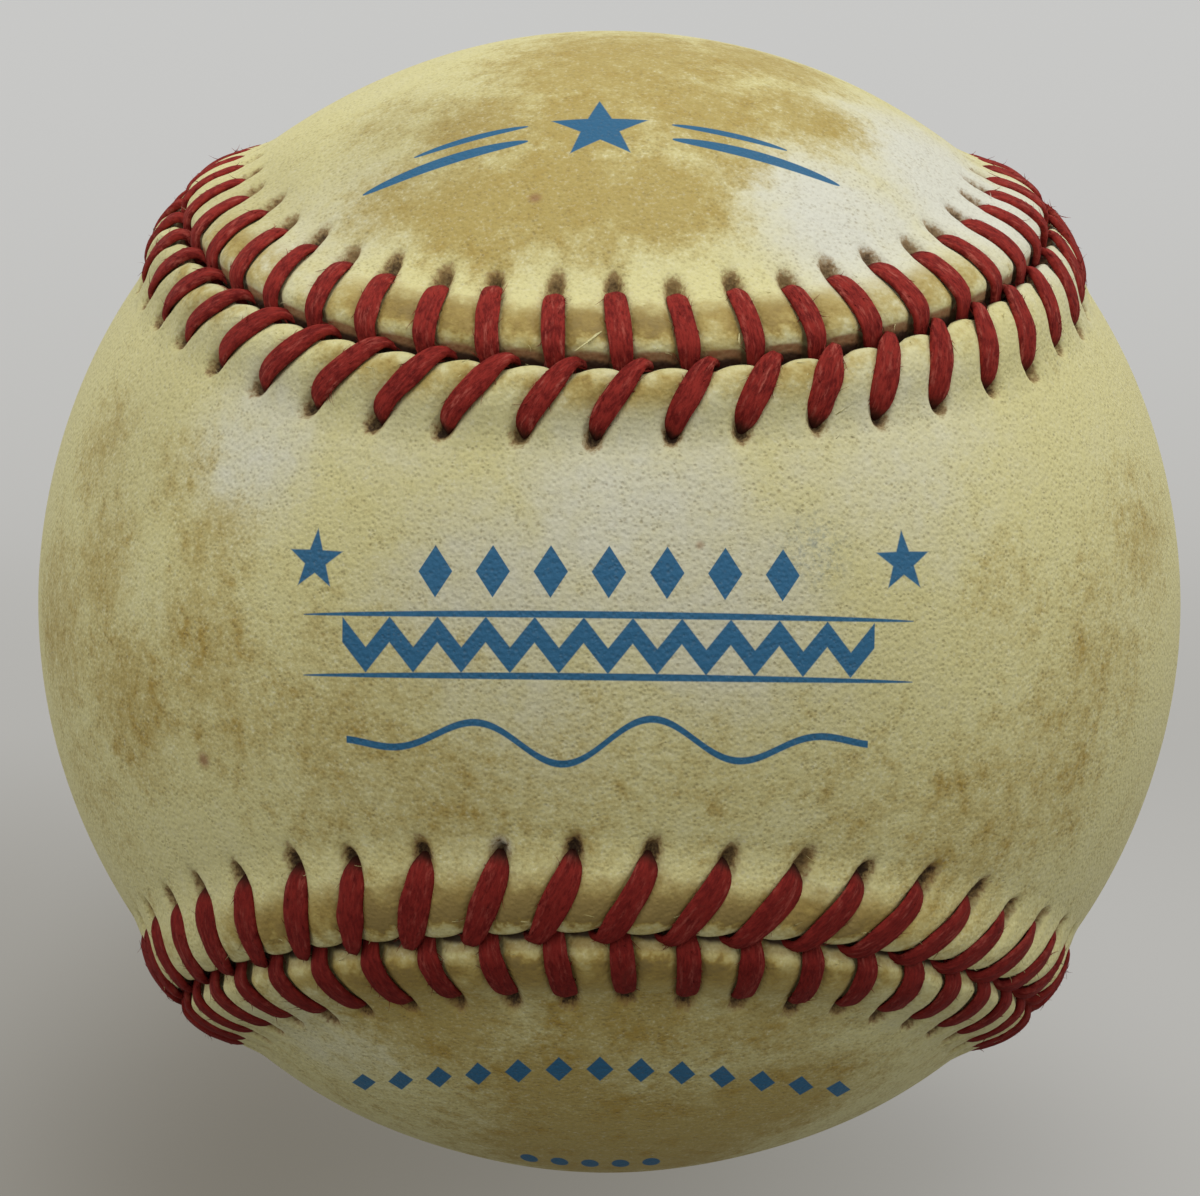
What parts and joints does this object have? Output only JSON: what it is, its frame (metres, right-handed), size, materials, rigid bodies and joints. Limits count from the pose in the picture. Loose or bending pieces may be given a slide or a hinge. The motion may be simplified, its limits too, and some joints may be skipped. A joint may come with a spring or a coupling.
{
  "type": "baseball",
  "caption": "Hand-sewn leather ball with a rubber-cushioned cork core, yarn windings and raised red stitching.",
  "frame": {"origin": "centre of the ball", "axes": "-Y through the middle of the front panel's waist, +Y through the middle of the back panel's waist, +X and -X through the front panel's lobes, +Z and -Z through the back panel's lobes"},
  "size_m": [0.074, 0.0741, 0.0742],
  "materials": {
    "cork": "granular cork and rubber composition, matte",
    "black_rubber": "moulded rubber, matte",
    "red_rubber": "moulded rubber, matte",
    "grey_wool": "wound woollen yarn",
    "white_wool": "wound woollen yarn",
    "cotton_yarn": "fine wound cotton blend yarn, tacky with rubber cement",
    "cover_leather": "alum-tanned cowhide, cream, aged and stained, satin",
    "waxed_thread": "waxed red cotton thread, flattened, satin"
  },
  "bodies": {
    "root": {"cork_core": "cork", "black_rubber_half_lower": "black_rubber", "black_rubber_half_upper": "black_rubber", "rubber_washer_lower": "red_rubber", "rubber_washer_upper": "red_rubber", "red_rubber_half_left": "red_rubber", "red_rubber_half_right": "red_rubber", "grey_four_ply_winding": "grey_wool", "white_three_ply_winding": "white_wool", "grey_three_ply_winding": "grey_wool", "cotton_finish_winding": "cotton_yarn", "front_cover_panel": "cover_leather", "back_cover_panel": "cover_leather", "thread_first_half": "waxed_thread", "thread_second_half": "waxed_thread"}
  },
  "joints": []
}
